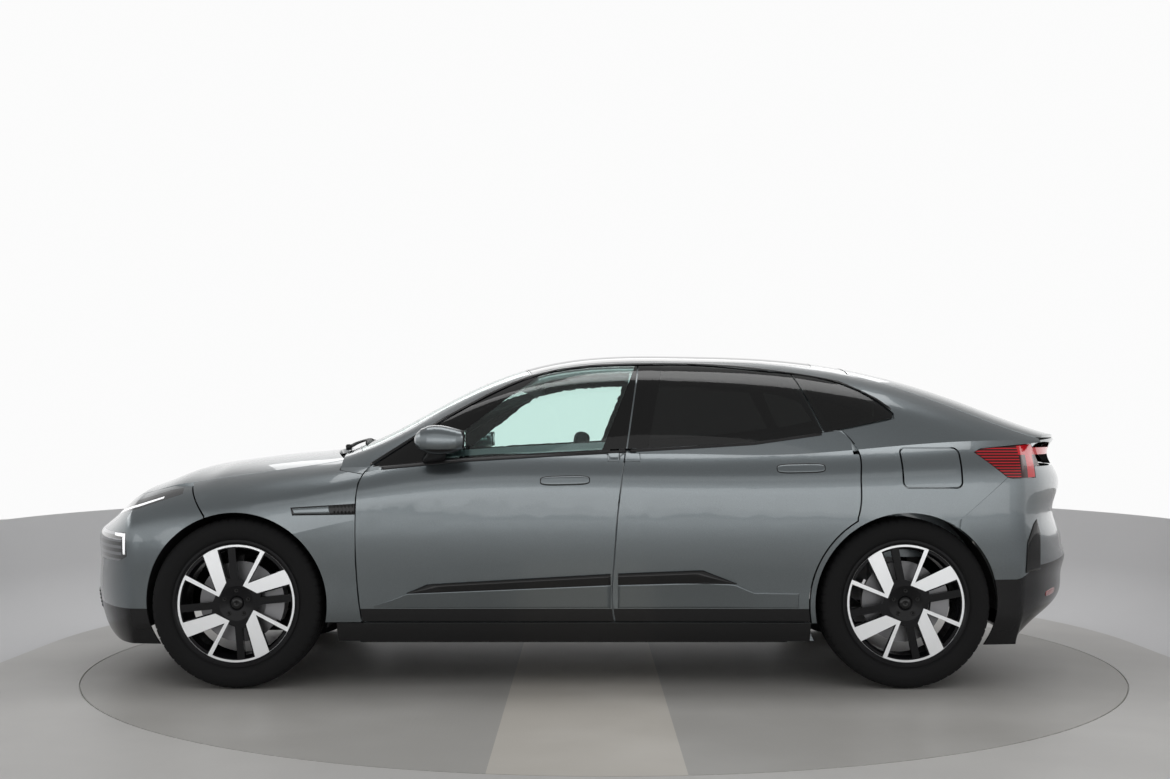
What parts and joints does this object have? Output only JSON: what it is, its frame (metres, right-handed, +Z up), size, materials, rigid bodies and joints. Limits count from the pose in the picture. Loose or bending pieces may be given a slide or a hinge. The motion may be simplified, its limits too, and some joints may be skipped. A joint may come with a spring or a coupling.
{
  "type": "electric crossover car",
  "caption": "Coupe-backed electric crossover with opening doors, bonnet, tailgate and charge flap, coupled front steering and turning wheels.",
  "frame": {"origin": "on the floor below the middle of the body's length and width", "axes": "+X towards the tail, -Y the car's left side, +Z up"},
  "size_m": [4.8541, 2.138, 1.5366],
  "materials": {
    "paint": "metallic clear coat",
    "glass": "tinted",
    "trim_gloss": "gloss black",
    "trim_matte": "grained",
    "lamp_front": "clear lamp cover",
    "lamp_tail": "red lamp cover",
    "battery_case": "e-coat",
    "structure": "e-coat",
    "cast": "machined and cast",
    "interior_hard": "soft grain",
    "seat_leather": "smooth",
    "rim": "gloss black with machined faces",
    "tyre": "moulded",
    "disc": "machined"
  },
  "bodies": {
    "car": {"body_shell": "paint", "front_wings": "paint", "front_bumper": "paint", "rear_bumper": "paint", "windscreen": "glass", "glass_roof": "glass", "quarter_windows": "glass", "sill_cladding": "trim_gloss", "headlamps": "lamp_front", "tail_lamps": "lamp_tail", "battery_pack": "battery_case", "front_frame": "structure", "front_subframe": "structure", "rear_axle": "structure", "wheel_arch_liners": "trim_matte", "dashboard": "interior_hard", "steering_wheel": "interior_hard", "seats": "seat_leather"},
    "front_left_door": {"front_left_door": "paint", "front_left_window": "glass", "left_mirror": "trim_gloss"},
    "front_right_door": {"front_right_door": "paint", "front_right_window": "glass", "right_mirror": "trim_gloss"},
    "rear_left_door": {"rear_left_door": "paint", "rear_left_window": "glass"},
    "rear_right_door": {"rear_right_door": "paint", "rear_right_window": "glass"},
    "bonnet": {"bonnet": "paint"},
    "tailgate": {"tailgate": "paint", "tailgate_lamp": "lamp_tail"},
    "charge_flap": {"charge_flap": "paint"},
    "front_left_knuckle": {"front_left_knuckle": "cast"},
    "front_right_knuckle": {"front_right_knuckle": "cast"},
    "front_left_wheel": {"front_left_rim": "rim", "front_left_tyre": "tyre", "front_left_brake_disc": "disc"},
    "front_right_wheel": {"front_right_rim": "rim", "front_right_tyre": "tyre", "front_right_brake_disc": "disc"},
    "rear_left_wheel": {"rear_left_rim": "rim", "rear_left_tyre": "tyre", "rear_left_brake_disc": "disc"},
    "rear_right_wheel": {"rear_right_rim": "rim", "rear_right_tyre": "tyre", "rear_right_brake_disc": "disc"}
  },
  "joints": [
    {"name": "front_left_door_hinge", "type": "hinge", "parent": "car", "child": "front_left_door", "pos_m": [-0.945, -0.972, 0.764], "axis": [0, 0, -1], "range_deg": [0, 68]},
    {"name": "front_right_door_hinge", "type": "hinge", "parent": "car", "child": "front_right_door", "pos_m": [-0.945, 0.972, 0.764], "axis": [0, 0, 1], "range_deg": [0, 68]},
    {"name": "rear_left_door_hinge", "type": "hinge", "parent": "car", "child": "rear_left_door", "pos_m": [0.2175, -0.972, 0.764], "axis": [0, 0, -1], "range_deg": [0, 68]},
    {"name": "rear_right_door_hinge", "type": "hinge", "parent": "car", "child": "rear_right_door", "pos_m": [0.2175, 0.972, 0.764], "axis": [0, 0, 1], "range_deg": [0, 68]},
    {"name": "bonnet_hinge", "type": "hinge", "parent": "car", "child": "bonnet", "pos_m": [-1.125, 0, 0.988], "axis": [0, 1, 0], "range_deg": [0, 45]},
    {"name": "tailgate_hinge", "type": "hinge", "parent": "car", "child": "tailgate", "pos_m": [1.301, 0, 1.45806], "axis": [0, -1, 0], "range_deg": [0, 65]},
    {"name": "charge_flap_hinge", "type": "hinge", "parent": "car", "child": "charge_flap", "pos_m": [1.443, -0.9764, 0.98573], "axis": [0, -0.3957, -0.9184], "range_deg": [0, 90]},
    {"name": "steer_left", "type": "hinge", "parent": "car", "child": "front_left_knuckle", "pos_m": [-1.548, -0.805, 0.3814], "axis": [0, 0, 1], "range_deg": [-35, 35]},
    {"name": "steer_right", "type": "hinge", "parent": "car", "child": "front_right_knuckle", "pos_m": [-1.548, 0.805, 0.3814], "axis": [0, 0, 1], "range_deg": [-35, 35]},
    {"name": "front_left_spin", "type": "hinge", "parent": "front_left_knuckle", "child": "front_left_wheel", "pos_m": [-1.548, -0.83, 0.3814], "axis": [0, 1, 0], "continuous": true},
    {"name": "front_right_spin", "type": "hinge", "parent": "front_right_knuckle", "child": "front_right_wheel", "pos_m": [-1.548, 0.83, 0.3814], "axis": [0, 1, 0], "continuous": true},
    {"name": "rear_left_spin", "type": "hinge", "parent": "car", "child": "rear_left_wheel", "pos_m": [1.451, -0.83, 0.3814], "axis": [0, 1, 0], "continuous": true},
    {"name": "rear_right_spin", "type": "hinge", "parent": "car", "child": "rear_right_wheel", "pos_m": [1.451, 0.83, 0.3814], "axis": [0, 1, 0], "continuous": true}
  ],
  "couplings": [
    {"joint": "steer_right", "follows": "steer_left", "ratio": 1}
  ]
}
